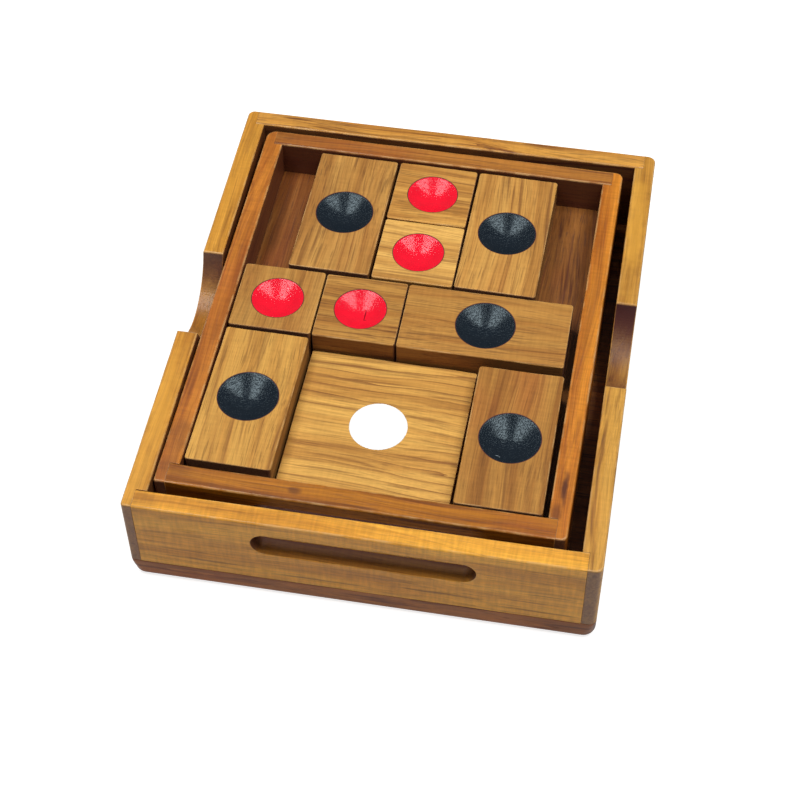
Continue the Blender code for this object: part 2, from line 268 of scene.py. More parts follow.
class PUZZLE_PG_colours(bpy.types.PropertyGroup):
    """Colours of the timbers and paints."""

    case_light: shade_of("Case light", "Palest wood of the case", (0.88, 0.46, 0.075))
    case_middle: shade_of("Case middle", "Most of the case's wood", (0.70, 0.32, 0.042))
    case_dark: shade_of("Case dark", "Streaks in the case's wood", (0.26, 0.095, 0.018))
    tray_light: shade_of("Tray light", "Palest wood of the tray", (0.74, 0.30, 0.045))
    tray_middle: shade_of("Tray middle", "Most of the tray's wood", (0.50, 0.165, 0.022))
    tray_dark: shade_of("Tray dark", "Streaks in the tray's wood", (0.20, 0.05, 0.015))
    block_light: shade_of("Block light", "Palest wood of the blocks", (0.66, 0.38, 0.10))
    block_middle: shade_of("Block middle", "Most of the blocks' wood", (0.50, 0.245, 0.055))
    block_dark: shade_of("Block dark", "Streaks in the blocks' wood", (0.20, 0.08, 0.02))
    end_grain: shade_of("End grain", "Wood cut across its grain", (0.17, 0.085, 0.06))
    # Pale edges: partly real rubbing, partly a painted highlight along the rounded edges
    worn: shade_of("Worn edge", "Wood where an edge is rubbed pale", (0.80, 0.50, 0.20))
    # Painted shade: the dark colour that stands in for the shade on inner faces, in openings, on the blocks'
    # sides and in the dimples
    stain: shade_of("Stain", "Bare wood inside, darkened by handling", (0.080, 0.020, 0.020))
    red_patch: shade_of("Red patch", "Redder patches in the wood", (0.42, 0.10, 0.02))
    dark_mark: shade_of("Dark mark", "Darkest of the marks on the boards", (0.09, 0.020, 0.007))
    pale_mark: shade_of("Pale mark", "Palest of the marks on the boards", (0.95, 0.48, 0.06))
    black_paint: shade_of("Black paint", "Paint in the long blocks' dimples", (0.011, 0.017, 0.025))
    red_paint: shade_of("Red paint", "Paint in the small blocks' dimples", (1.0, 0.010, 0.034))
    white_paint: shade_of("White paint", "Paint of the king block's spot", (1.0, 1.0, 1.0))


class PUZZLE_PG_stage(bpy.types.PropertyGroup):
    """Camera, lights and floor."""

    azimuth: degrees("Azimuth", "Camera's turn to the right of the front", 10.335)
    elevation: degrees("Elevation", "Camera's height above the horizon", 51.237)
    roll: degrees("Roll", "Camera's lean", -0.557)
    distance: metres("Distance", "Camera's distance from its target", 408.73 * MM)
    target: FloatVectorProperty(
        name="Target",
        description="Point that the camera looks at",
        default=(-1.158 * MM, -4.269 * MM, 1.1 * MM),
        subtype="TRANSLATION",
    )
    lens: number("Lens", "Focal length in millimetres", 83.54)
    sensor: number("Sensor", "Width of the camera's sensor in millimetres", 36)
    softbox_power: FloatProperty(name="Softbox power", description="Of each one", default=4.5, unit="POWER")
    softbox_elevation: degrees("Softbox elevation", "Height of each softbox above the horizon", 68)
    softbox_distance: metres("Softbox distance", "Distance of each softbox from the puzzle", 0.9)
    softbox_width: metres("Softbox width", "Width of each softbox", 0.36)
    softbox_length: metres("Softbox length", "Length of each softbox, front to back", 0.6)
    room_light: number("Room light", "Strength of the light from all round", 0.10)
    floor_size: metres("Floor size", "Width and depth of the floor", 8.0)
    floor_shade: number("Floor shade", "Share of the light that the floor throws back", 0.5)
    floor_glow: number("Floor glow", "Light that the white floor adds to what falls on it", 0.2)
    floor_lift: number("Floor lift", "Further light that makes the floor look white", 0.58)


def sizes():
    return bpy.context.scene.puzzle_sizes


def colours():
    return bpy.context.scene.puzzle_colours


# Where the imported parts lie


def turn_of(node):
    """How far a part is turned about the upright axis, up to 45 degrees either way."""
    x = y = 0.0
    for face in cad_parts[node].data.polygons:
        if abs(face.normal.z) < 0.1:
            angle = 4 * math.atan2(face.normal.y, face.normal.x)
            x += face.area * math.cos(angle)
            y += face.area * math.sin(angle)
    return math.atan2(y, x) / 4


def points_in(node, lie):
    """A part's points in the frame that the matrix lie places."""
    inverse = lie.inverted()
    return [inverse @ vert.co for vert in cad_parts[node].data.vertices]


def box_of(points):
    """Lowest and highest corner of some points."""
    return Vector(map(min, zip(*points))), Vector(map(max, zip(*points)))


def lie_of(node):
    """A part's own frame: upright and turned as the part is, from the middle of its underside."""
    turn = Matrix.Rotation(turn_of(node), 4, "Z")
    low, high = box_of(points_in(node, turn))
    return turn @ Matrix.Translation(((low.x + high.x) / 2, (low.y + high.y) / 2, low.z))


# Shaping


def arc(centre, radius, start, end, steps):
    """Points on a circle about centre, from one angle to another, both ends included."""
    angles = [start + (end - start) * i / steps for i in range(steps + 1)]
    return [(centre[0] + radius * math.cos(a), centre[1] + radius * math.sin(a)) for a in angles]


def rounded_rectangle(half_x, half_y, radii, steps=CORNER_STEPS):
    """Its corners go round from the back right, as the radii do."""
    points = []
    for quarter, (radius, sign) in enumerate(zip(radii, SIGNS)):
        centre = (sign[0] * (half_x - radius), sign[1] * (half_y - radius))
        start = quarter * math.pi / 2
        points += arc(centre, radius, start, start + math.pi / 2, steps)
    return points


def prism(outline, bottom, top):
    """An upright block with the given plan."""
    bm = bmesh.new()
    base = bm.faces.new([bm.verts.new((x, y, bottom)) for x, y in outline])
    side = bmesh.ops.extrude_face_region(bm, geom=[base])["geom"]
    verts = [v for v in side if isinstance(v, bmesh.types.BMVert)]
    bmesh.ops.translate(bm, verts=verts, vec=(0, 0, top - bottom))
    return bm


def join_rings(bm, rings):
    """Makes the faces between each ring of vertices and the next."""
    for lower, upper in zip(rings, rings[1:]):
        for i in range(len(lower)):
            j = (i + 1) % len(lower)
            bm.faces.new((lower[i], lower[j], upper[j], upper[i]))


def link(data, name):
    """An object made of a mesh, light or camera, in the scene."""
    obj = bpy.data.objects.new(name, data)
    bpy.context.scene.collection.objects.link(obj)
    return obj


def object_from(bm, name):
    bmesh.ops.recalc_face_normals(bm, faces=bm.faces)
    mesh = bpy.data.meshes.new(name)
    bm.to_mesh(mesh)
    bm.free()
    return link(mesh, name)


def settle(obj):
    """Makes what the object's modifiers show its own mesh."""
    graph = bpy.context.evaluated_depsgraph_get()
    mesh = bpy.data.meshes.new_from_object(obj.evaluated_get(graph), depsgraph=graph)
    old = obj.data
    obj.modifiers.clear()
    obj.data = mesh
    bpy.data.meshes.remove(old)
    mesh.name = obj.name


def cut(obj, cutter_bm):
    """Takes the cutter's shape out of the object."""
    cutter = object_from(cutter_bm, "cutter")
    boolean = obj.modifiers.new("Cut", "BOOLEAN")
    boolean.operation = "DIFFERENCE"
    boolean.solver = "EXACT"
    boolean.object = cutter
    settle(obj)
    mesh = cutter.data
    bpy.data.objects.remove(cutter)
    bpy.data.meshes.remove(mesh)


def is_sharp(edge):
    return len(edge.link_faces) == 2 and edge.calc_face_angle(0) > SHARP_ANGLE


def split_long_edges(bm):
    """Divides the long sharp edges, so that each length can be worn by itself."""
    for edge in [e for e in bm.edges if is_sharp(e)]:
        pieces = int(edge.calc_length() / SPLIT)
        vert = edge.verts[0]
        for left in range(pieces, 1, -1):
            edge, new = bmesh.utils.edge_split(edge, vert, 1 / left)
            edge = next(e for e in new.link_edges if vert not in e.verts and len(e.link_faces) == 2)
            vert = new


def unevenness(place, seed, coarse, fine):
    """Smooth noise in two sizes, about 0."""
    uneven = noise.noise(place * coarse + Vector((seed, 2.3, 7.1)))
    return uneven + 0.6 * noise.noise(place * fine + Vector((seed, 5.7, 1.9)))


def wear_edges(obj, seed, painted_shade_at):
    """Makes the rounded edges uneven, as hand sanding does, and marks where they are paled, partly by rubbing
    and partly as a painted highlight, and how much painted shade each face gets.
    """
    amount = sizes().wear
    bm = bmesh.new()
    bm.from_mesh(obj.data)
    worn_and_sheen_layer = bm.verts.layers.float.new("worn")
    painted_shade_layer = bm.loops.layers.float.new("stained")
    moves = {}
    for vert in bm.verts:
        flats = [f.normal for f in vert.link_faces if f.material_index == 0]
        rounds = [f.normal for f in vert.link_faces if f.material_index == 1]
        if not rounds:
            continue
        shortest = min(edge.calc_length() for edge in vert.link_edges)
        if not flats and shortest > 0.06 * MM:
            # Paled middle of a rounded edge: partly rubbing, partly a painted highlight
            vert[worn_and_sheen_layer] = 1.0
        inward = -sum(rounds, Vector()).normalized()
        plane = flats[0] if flats else None
        if any(plane.dot(other) < SAME_WAY for other in flats[1:]):
            continue
        if plane:
            inward -= plane * inward.dot(plane)
            if inward.length < 0.1:
                continue
            inward.normalize()
        room = 0.4 * shortest
        share = 0.5 if plane else 0.35
        move = amount * share * (0.45 + unevenness(vert.co, seed, 130, 420))
        moves[vert] = inward * max(-room, min(room, move))
    for vert, move in moves.items():
        vert.co += move
    bmesh.ops.triangulate(bm, faces=[f for f in bm.faces if len(f.verts) > 4])
    bm.normal_update()
    # Painted shade for each corner of each face
    for face in bm.faces:
        for corner in face.loops:
            corner[painted_shade_layer] = painted_shade_at(face, corner.vert.co)
    shade(bm, obj.data)


def shade(bm, mesh):
    """Shades the faces marked 0 flat and those marked 1 round, running smoothly into the flat ones."""
    bm.normal_update()
    normals = []
    for face in bm.faces:
        face.smooth = True
        for vert in face.verts:
            flats = [f.normal for f in vert.link_faces if f.material_index == 0]
            if face.material_index == 0:
                normals.append(face.normal.copy())
            elif flats and all(flats[0].dot(other) > SAME_WAY for other in flats[1:]):
                normals.append(flats[0].copy())
            else:
                near = [f.normal for f in vert.link_faces if f.material_index == 1]
                normals.append(sum(near, Vector()).normalized())
    for face in bm.faces:
        face.material_index = 0
    bm.to_mesh(mesh)
    bm.free()
    mesh.normals_split_custom_set(normals)


def soften(obj, width_at, seed, segments=3, painted_shade_at=lambda face, point: 0.0):
    """Rounds every sharp edge by the width that width_at gives for its middle, unevenly."""
    bm = bmesh.new()
    bm.from_mesh(obj.data)
    bmesh.ops.dissolve_limit(bm, angle_limit=math.radians(0.5), verts=bm.verts, edges=bm.edges)
    split_long_edges(bm)
    widest = sizes().edge
    weight = bm.edges.layers.float.new("bevel_weight_edge")
    for edge in bm.edges:
        if is_sharp(edge):
            middle = (edge.verts[0].co + edge.verts[1].co) / 2
            edge[weight] = width_at(middle, edge) / widest
    for face in bm.faces:
        face.material_index = 0
    bm.to_mesh(obj.data)
    bm.free()
    bevel = obj.modifiers.new("Soft edges", "BEVEL")
    bevel.width = widest
    bevel.segments = segments
    bevel.limit_method = "WEIGHT"
    bevel.material = 1
    bevel.use_clamp_overlap = False
    bevel.loop_slide = True
    obj.data.materials.append(None)
    obj.data.materials.append(None)
    settle(obj)
    wear_edges(obj, seed, painted_shade_at)
    obj.data.materials.clear()


# Wood and paint


class Bench:
    """Adds and joins the shader nodes of one material."""

    def __init__(self, name):
        self.material = bpy.data.materials.new(name)
        self.material.use_nodes = True
        self.nodes = self.material.node_tree.nodes
        self.links = self.material.node_tree.links
        self.shader = self.nodes["Principled BSDF"]

    def add(self, kind, inputs, output=0, **settings):
        """Adds a node, sets it, feeds its inputs with numbers or other nodes, and gives one output."""
        node = self.nodes.new("ShaderNode" + kind)
        for name, value in settings.items():
            setattr(node, name, value)
        for key, value in inputs.items():
            self.feed(node.inputs[key], value)
        return node.outputs[output]

    def feed(self, socket, value):
        if isinstance(value, bpy.types.NodeSocket):
            self.links.new(value, socket)
        else:
            socket.default_value = value

    def vector(self, operation, first, second):
        return self.add("VectorMath", {0: first, 1: second}, operation=operation)

    def math(self, operation, first, second=0.0):
        return self.add("Math", {0: first, 1: second}, operation=operation)

    def noise(self, place, stretch, detail=2.0, roughness=0.5, output="Fac"):
        """Noise in millimetres: stretch gives how fast it changes along each axis."""
        scaled = self.vector("MULTIPLY", place, stretch)
        return self.add(
            "TexNoise", {"Vector": scaled, "Scale": 1.0, "Detail": detail, "Roughness": roughness}, output
        )

    def shake(self, vector, place, stretch, reach):
        """The vector moved about by noise, as far as reach along each axis."""
        drift = self.vector("SUBTRACT", self.noise(place, stretch, 2, 0.5, "Color"), (0.5, 0.5, 0.5))
        return self.vector("ADD", vector, self.vector("MULTIPLY", drift, reach))

    def size(self, vector):
        return self.add("VectorMath", {0: vector}, "Value", operation="LENGTH")

    def span(self, value, low, high, to_low=0.0, to_high=1.0, smooth=True):
        """The value spread from one range over another, and held at its ends."""
        kind = "SMOOTHSTEP" if smooth else "LINEAR"
        inputs = {"Value": value, "From Min": low, "From Max": high, "To Min": to_low, "To Max": to_high}
        return self.add("MapRange", inputs, interpolation_type=kind)

    def mix(self, share, first, second, blend="MIX"):
        inputs = {0: share, 6: colour(first), 7: colour(second)}
        return self.add("Mix", inputs, 2, data_type="RGBA", blend_type=blend)

    def tint(self, base, factor):
        """The colour times a number that varies over the surface."""
        return self.add("VectorMath", {0: base, "Scale": factor}, operation="SCALE")


def colour(value):
    """A colour with its fourth number, or the node's output as it is."""
    if isinstance(value, bpy.types.NodeSocket):
        return value
    return (*value[:3], 1)


def toned(value, tone):
    return tuple(min(1.0, c * t) for c, t in zip(value, tone))


def timber(name, board, kind, gloss):
    """Wood made of bands, streaks, growth lines, fibres and pores along the grain, solid all through."""
    shades = colours()
    light = toned(getattr(shades, f"{kind}_light"), board.tone)
    middle = toned(getattr(shades, f"{kind}_middle"), board.tone)
    dark = toned(getattr(shades, f"{kind}_dark"), board.tone)
    bench = Bench(name)
    coords = bench.nodes.new("ShaderNodeTexCoord")
    turn = math.pi / 2 if board.grain == "Y" else 0.0
    grained = bench.add(
        "Mapping",
        {
            "Vector": coords.outputs["Object"],
            "Location": (board.seed * 17.3, board.seed * 5.1, board.seed * 3.7),
            "Rotation": (0, 0, -turn),
            "Scale": PER_MM,
        },
    )
    bent = bench.shake(grained, grained, DRIFT, (0, DRIFT_REACH, DRIFT_REACH))

    broad = bench.noise(bent, BROAD, 3, 0.55)
    streak = bench.noise(bent, STREAK, 3, 0.6)
    fibre = bench.noise(bent, FIBRE, 3, 0.7)
    pore = bench.span(bench.noise(bent, PORE, 1), 0.57, 0.70)
    patch = bench.noise(grained, PATCH, 2)
    fleck = bench.noise(grained, FLECK, 2)

    depth = bench.nodes.new("ShaderNodeSeparateXYZ")
    bench.feed(depth.inputs[0], bent)
    leaning = bench.math("ADD", depth.outputs["Y"], bench.math("MULTIPLY", depth.outputs["Z"], RING_TILT))
    wander = bench.math("MULTIPLY", broad, RING_WANDER)
    ring = bench.math("FRACT", bench.math("ADD", bench.math("MULTIPLY", leaning, RINGS_PER_MM), wander))
    line = bench.math("POWER", ring, RING_SHARPNESS)
    line = bench.math("MULTIPLY", line, bench.span(patch, 0.35, 0.6, 0.25, 1.0))

    wood = bench.mix(bench.span(broad, 0.34, 0.66), middle, light)
    lower = bench.span(broad, 0.24, 0.5, board.bands, 0.0)
    wood = bench.mix(lower, wood, toned(middle, BAND_TONE))
    wood = bench.mix(bench.span(streak, 0.50, 0.72, 0.0, board.streaks), wood, dark)
    wood = bench.mix(bench.math("MULTIPLY", line, board.lines), wood, dark)
    wood = bench.mix(bench.span(patch, 0.52, 0.72, 0.0, board.red), wood, shades.red_patch)
    wood = bench.tint(wood, bench.span(fibre, 0.3, 0.7, 0.80, 1.16, False))
    wood = bench.tint(wood, bench.span(fleck, 0.3, 0.7, 1 - board.fleck, 1 + board.fleck, False))
    wood = bench.mix(bench.math("MULTIPLY", pore, board.pores), wood, toned(dark, PORE_TONE))

    axis = (0, 1, 0) if board.grain == "Y" else (1, 0, 0)
    facing = bench.add("VectorMath", {0: coords.outputs["Normal"], 1: axis}, "Value", operation="DOT_PRODUCT")
    end = bench.span(bench.math("ABSOLUTE", facing), 0.45, 0.9)
    speckle = bench.span(bench.noise(grained, SPECKLE, 2), 0.3, 0.7, 0.8, 1.2, False)
    end_wood = bench.tint(bench.mix(0.25, shades.end_grain, wood), speckle)
    wood = bench.mix(end, wood, end_wood)

    # Pale rounded edges: partly real rubbing, partly a painted highlight
    worn = bench.add("Attribute", {}, "Fac", attribute_name="worn")
    rubbed_and_sheen = bench.span(bench.noise(grained, RUB, 3), 0.40, 0.64, 0.05, 0.5)
    rubbed_and_sheen = bench.math("MULTIPLY", worn, rubbed_and_sheen)
    # Painted shade: a darker colour where shade falls, on inner faces, in openings, on the blocks' sides and
    # in the dimples
    stained = bench.add("Attribute", {}, "Fac", attribute_name="stained")
    wood = bench.mix(stained, wood, shades.stain)
    wood = bench.mix(bench.math("MULTIPLY", rubbed_and_sheen, bench.span(end, 0, 1, 1, 0.3)), wood, shades.worn)
    for mark in board.marks:
        wood = marked(bench, coords, wood, mark)

    shader = bench.shader
    bench.feed(shader.inputs["Base Color"], wood)
    rough = bench.span(fibre, 0.3, 0.7, gloss.rough - 0.05, gloss.rough + 0.07, False)
    bench.feed(shader.inputs["Roughness"], bench.math("ADD", rough, bench.math("MULTIPLY", pore, 0.15)))
    shader.inputs["Specular IOR Level"].default_value = gloss.specular
    shader.inputs["Coat Weight"].default_value = gloss.coat
    shader.inputs["Coat Roughness"].default_value = gloss.coat_rough
    height = bench.math("SUBTRACT", bench.math("MULTIPLY", fibre, 0.6), bench.math("MULTIPLY", pore, 0.8))
    height = bench.math("ADD", height, bench.math("MULTIPLY", streak, 0.5))
    bump = bench.add("Bump", {"Height": height, "Strength": gloss.bump, "Distance": BUMP_HEIGHT})
    bench.feed(shader.inputs["Normal"], bump)
    return bench.material


def marked(bench, coords, wood, mark):
    """The wood with one soft-edged spot: darker for a positive strength, paler for a negative one."""
    x, y, z, half_x, half_y, half_z, strength = mark
    place = coords.outputs["Object"]
    offset = bench.vector("SUBTRACT", place, (x * MM, y * MM, z * MM))
    reach = bench.vector("MULTIPLY", offset, (1 / (half_x * MM), 1 / (half_y * MM), 1 / (half_z * MM)))
    reach = bench.shake(reach, place, (300.0,) * 3, (0.9,) * 3)
    share = bench.span(bench.size(reach), 1.0, 0.25, 0.0, abs(strength))
    return bench.mix(share, wood, colours().dark_mark if strength > 0 else colours().pale_mark)


class Gloss(NamedTuple):
    """How a finish shines."""

    rough: float
    specular: float
    coat: float
    coat_rough: float
    bump: float


LACQUER = Gloss(0.40, 0.42, 0.15, 0.12, 0.4)
SATIN = Gloss(0.5, 0.32, 0.0, 0.3, 0.45)


def enamel(name, shade, roughness, grit, cloud=0.12, marks=()):
    """Brushed-in gloss paint, slightly uneven."""
    bench = Bench(name)
    coords = bench.nodes.new("ShaderNodeTexCoord")
    place = bench.vector("MULTIPLY", coords.outputs["Object"], PER_MM)
    cloudy = bench.noise(place, CLOUDS, 3)
    grain = bench.noise(place, BRUSH, 2, 0.6)
    pits = bench.span(bench.noise(place, PITS, 1), 0.48, 0.64)
    relief = bench.math("SUBTRACT", bench.math("MULTIPLY", grain, 0.4), bench.math("MULTIPLY", pits, 0.8))
    thin = toned(shade, (1 - cloud,) * 3)
    paint = bench.mix(bench.span(cloudy, 0.3, 0.7, smooth=False), thin, shade)
    for x, y, half_x, half_y, target in marks:
        offset = bench.vector("SUBTRACT", place, (x, y, 0))
        reach = bench.size(bench.vector("MULTIPLY", offset, (1 / half_x, 1 / half_y, 0)))
        paint = bench.mix(bench.span(reach, 1.0, 0.6), paint, target)
    inputs = bench.shader.inputs
    bench.feed(inputs["Base Color"], paint)
    bench.feed(inputs["Roughness"], bench.span(grain, 0.3, 0.7, roughness, roughness + 0.15, False))
    inputs["Specular IOR Level"].default_value = PAINT_SPECULAR
    inputs["Specular Tint"].default_value = PAINT_SPECULAR_TINT
    bump = bench.add("Bump", {"Height": relief, "Strength": grit, "Distance": BUMP_HEIGHT})
    bench.feed(inputs["Normal"], bump)
    return bench.material


def finish_piece(obj, lie, material, body, node=None):
    """Puts the piece in its place, gives it its finish and ties it to its body."""
    obj.data.materials.append(material)
    obj.matrix_world = lie
    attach(obj, body)
    if node:
        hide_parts(node)


# Walls


class Walls(NamedTuple):
    """Four walls in their own frame: outside, inside and where the end walls stop."""

    kind: str
    lie: Matrix
    bottom: float
    boxes: dict


def walls_of(kind, lie, bottom):
    boxes = {place: box_of(points_in(f"{kind}_wall_{place}", lie)) for place in WALLS}
    return Walls(kind, lie, bottom, boxes)


def side_outline(walls, side):
    """A side wall's plan: full depth, with a step at each end that takes an end wall."""
    sign = 1 if side == "right" else -1
    low, high = walls.boxes[side]
    outer, inner = (high.x, low.x) if sign > 0 else (-low.x, -high.x)
    corners = CASE_CORNERS if walls.kind == "case" else TRAY_CORNERS

    def half(end):
        end_low, end_high = walls.boxes[end]
        turn = 1 if end == "back" else -1
        tip = high.y if turn > 0 else -low.y
        shoulder = end_low.y if turn > 0 else -end_high.y
        cheek = (end_high.x if sign > 0 else -end_low.x) + GLUE_GAP
        corner = corners[end, side]
        points = arc((outer - corner, tip - corner), corner, 0, math.pi / 2, CORNER_STEPS)
        return points + [(cheek, tip), (cheek, shoulder), (inner, shoulder)]

    points = half("back") + [(x, -y) for x, y in reversed(half("front"))]
    apart = [a for a, b in zip(points, points[1:] + points[:1]) if math.dist(a, b) > CLOSE / 2]
    return [(sign * x, y) for x, y in apart]


def end_outline(walls, end):
    """An end wall's plan: a plain board between the side walls."""
    low, high = walls.boxes[end]
    left, right = low.x - GLUE_GAP, high.x + GLUE_GAP
    return [(right, high.y), (left, high.y), (left, low.y), (right, low.y)]


def notch_cutter(walls, side):
    """A cylinder lying across a side wall, whose lowest part scoops out the finger notch."""
    low, high = walls.boxes[side]
    inner_points = [p.z for p in points_in(f"case_wall_{side}", walls.lie) if low.z + MM < p.z < high.z - MM]
    depth = high.z - min(inner_points)
    half_width = sizes().notch_width / 2
    radius = (half_width**2 + depth**2) / (2 * depth)
    bm = bmesh.new()
    bmesh.ops.create_cone(
        bm,
        cap_ends=True,
        segments=NOTCH_SIDES,
        radius1=radius,
        radius2=radius,
        depth=high.x - low.x + 2 * OVERCUT,
        matrix=Matrix.Translation(((low.x + high.x) / 2, 0, high.z - depth + radius))
        @ Matrix.Rotation(math.pi / 2, 4, "Y"),
    )
    return bm


def slot_box(walls):
    """The opening in a front wall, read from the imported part's own points."""
    low, high = walls.boxes["front"]
    points = points_in(f"{walls.kind}_wall_front", walls.lie)
    inside = [p for p in points if low.x + MM < p.x < high.x - MM and low.z + MM < p.z < high.z - MM]
    return box_of(inside)


def slot_cutter(walls):
    """A bar with round ends, lying through a front wall."""
    low, high = slot_box(walls)
    radius = (high.z - low.z) / 2
    middle_x, middle_z = (low.x + high.x) / 2, (low.z + high.z) / 2
    reach = (high.x - low.x) / 2 - radius
    outline = arc((reach, 0), radius, -math.pi / 2, math.pi / 2, SLOT_END_STEPS)
    outline += arc((-reach, 0), radius, math.pi / 2, 3 * math.pi / 2, SLOT_END_STEPS)
    wall_low, wall_high = walls.boxes["front"]
    half = (wall_high.y - wall_low.y) / 2 + OVERCUT
    bm = prism(outline, -half, half)
    move = Matrix.Translation((middle_x, (wall_low.y + wall_high.y) / 2, middle_z))
    bmesh.ops.transform(bm, matrix=move @ Matrix.Rotation(math.pi / 2, 4, "X"), verts=bm.verts)
    return bm


def within(opening, point, spare_x, spare_z):
    """Whether a point lies within an opening's width and height, with some to spare."""
    low, high = opening
    return low.x - spare_x < point.x < high.x + spare_x and low.z - spare_z < point.z < high.z + spare_z


def wall_width_at(walls, place):
    """Gives how far each edge of a wall is rounded."""
    low, high = walls.boxes[place]
    joints = []
    if place in ("left", "right"):
        for end in ("front", "back"):
            end_low, end_high = walls.boxes[end]
            joints.append((1, end_high.y if end == "front" else end_low.y))
            joints.append((0, end_low.x - GLUE_GAP if place == "left" else end_high.x + GLUE_GAP))
    else:
        joints = [(0, low.x - GLUE_GAP), (0, high.x + GLUE_GAP)]
    if walls.kind == "case":
        joints.append((2, walls.bottom))
    opening = slot_box(walls) if place == "front" else None

    def width_at(middle, edge):
        ends = [vert.co for vert in edge.verts]
        if any(all(abs(end[axis] - value) < CLOSE for end in ends) for axis, value in joints):
            return sizes().joint
        if opening and all(within(opening, end, CLOSE, CLOSE) for end in ends):
            return sizes().cut
        notched = walls.kind == "case" and place in ("left", "right")
        if notched and low.z + MM < middle.z < high.z - CLOSE:
            return sizes().cut if abs(middle.y) < sizes().notch_width / 2 + CLOSE else sizes().edge
        return sizes().edge

    return width_at


def painted_shade_faces(walls, place):
    """Gives how much painted shade a face gets at one of its points: the inner sides, the slot and the
    notches are painted darker where shade falls.
    """
    inward = {"left": (1, 0, 0), "right": (-1, 0, 0), "front": (0, 1, 0), "back": (0, -1, 0)}[place]
    low, high = walls.boxes[place]
    opening = slot_box(walls) if place == "front" else None
    notched = walls.kind == "case" and place in ("left", "right")

    def painted_shade_at(face, point):
        # Painted shade on the faces looking into the case or tray
        if face.normal.dot(Vector(inward)) > 0.8:
            return INSIDE_PAINTED_SHADE
        # Painted shade in the slot, more towards the inside
        if opening and abs(face.normal.y) < 0.3 and within(opening, point, MM, 0.1 * MM):
            outer, inner = SLOT_PAINTED_SHADE
            return outer + (inner - outer) * (point.y - low.y) / (high.y - low.y)
        # Painted shade in a notch, more where it is steep
        if notched and abs(face.normal.x) < 0.3 and low.z + MM < point.z < high.z - 0.1 * MM:
            if abs(point.y) < sizes().notch_width / 2:
                return NOTCH_PAINTED_SHADE[place] + NOTCH_END_PAINTED_SHADE * abs(face.normal.y)
        return 0.0

    return painted_shade_at


def build_wall(walls, place, boards):
    name = f"{walls.kind}_wall_{place}"
    board = boards[name]
    outline = side_outline(walls, place) if place in ("left", "right") else end_outline(walls, place)
    wall = object_from(prism(outline, walls.bottom, walls.boxes[place][1].z), f"{name}_board")
    if place == "front":
        cut(wall, slot_cutter(walls))
    elif walls.kind == "case" and place in ("left", "right"):
        cut(wall, notch_cutter(walls, place))
    soften(wall, wall_width_at(walls, place), board.seed, painted_shade_at=painted_shade_faces(walls, place))
    finish_piece(wall, walls.lie, timber(name, board, walls.kind, LACQUER), walls.kind, name)


def build_panel():
    """The case's bottom panel: outlines stacked upwards, so that its lower edge is a quarter round."""
    name = "case_bottom_panel"
    low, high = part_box(name)
    lie = Matrix.Translation(((low.x + high.x) / 2, (low.y + high.y) / 2, low.z))
    size = (high - low) / 2
    thick = high.z - low.z
    round_off = sizes().panel_round
    levels = []
    for step in range(PANEL_ROUND_STEPS + 1):
        angle = step / PANEL_ROUND_STEPS * math.pi / 2
        levels.append((round_off * (1 - math.cos(angle)), round_off * (1 - math.sin(angle)), 1.0))
    straight = thick - round_off - sizes().cut
    for step in range(1, PANEL_SIDE_STEPS + 1):
        share = step / PANEL_SIDE_STEPS
        levels.append((round_off + straight * step / PANEL_SIDE_STEPS, 0.0, (1 - share) ** 1.5))
    levels.append((thick - sizes().cut * 0.3, sizes().cut * 0.3, 0.0))
    levels.append((thick, sizes().cut, 0.0))
    bm = bmesh.new()
    rings = []
    for height, inset, rounder in levels:
        radii = [CASE_CORNERS[p] + (sizes().panel_corner - CASE_CORNERS[p]) * rounder for p in PLACES]
        outline = rounded_rectangle(size.x - inset, size.y - inset, [max(r - inset, 0.3 * MM) for r in radii])
        rings.append([bm.verts.new((x, y, height)) for x, y in outline])
    bm.faces.new(rings[0])
    bm.faces.new(rings[-1])
    join_rings(bm, rings)
    panel = object_from(bm, f"{name}_board")
    panel.data.shade_smooth()
    panel.modifiers.new("Flat faces", "WEIGHTED_NORMAL")
    board = CASE_BOARDS[name]
    finish_piece(panel, lie, timber(name, board, "case", LACQUER), "case", name)


def build_tray_floor():
    name = "tray_floor"
    lie = lie_of(name)
    low, high = box_of(points_in(name, lie))
    half_x, half_y = high.x + GLUE_GAP, high.y + GLUE_GAP
    outline = [(x * half_x, y * half_y) for x, y in SIGNS]
    floor = object_from(prism(outline, low.z, high.z), f"{name}_board")
    soften(floor, lambda middle, edge: sizes().joint, TRAY_BOARDS[name].seed, 2)
    finish_piece(floor, lie, timber(name, TRAY_BOARDS[name], "tray", LACQUER), "tray", name)


# Blocks


def block_sizes(name):
    """A block's own frame and, in it, its highest corner."""
    lie = lie_of(name)
    low, high = box_of(points_in(name, lie))
    return lie, high


def dimple_of(name):
    """Radius and depth of a block's dimple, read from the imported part's own points."""
    lie, high = block_sizes(name)
    near = [p for p in points_in(name, lie) if math.hypot(p.x, p.y) < 0.45 * min(2 * high.x, 2 * high.y)]
    depth = high.z - min(p.z for p in near if p.z > 0.2 * high.z)
    radius = max(math.hypot(p.x, p.y) for p in near if abs(p.z - high.z) < 0.05 * MM)
    return radius, depth


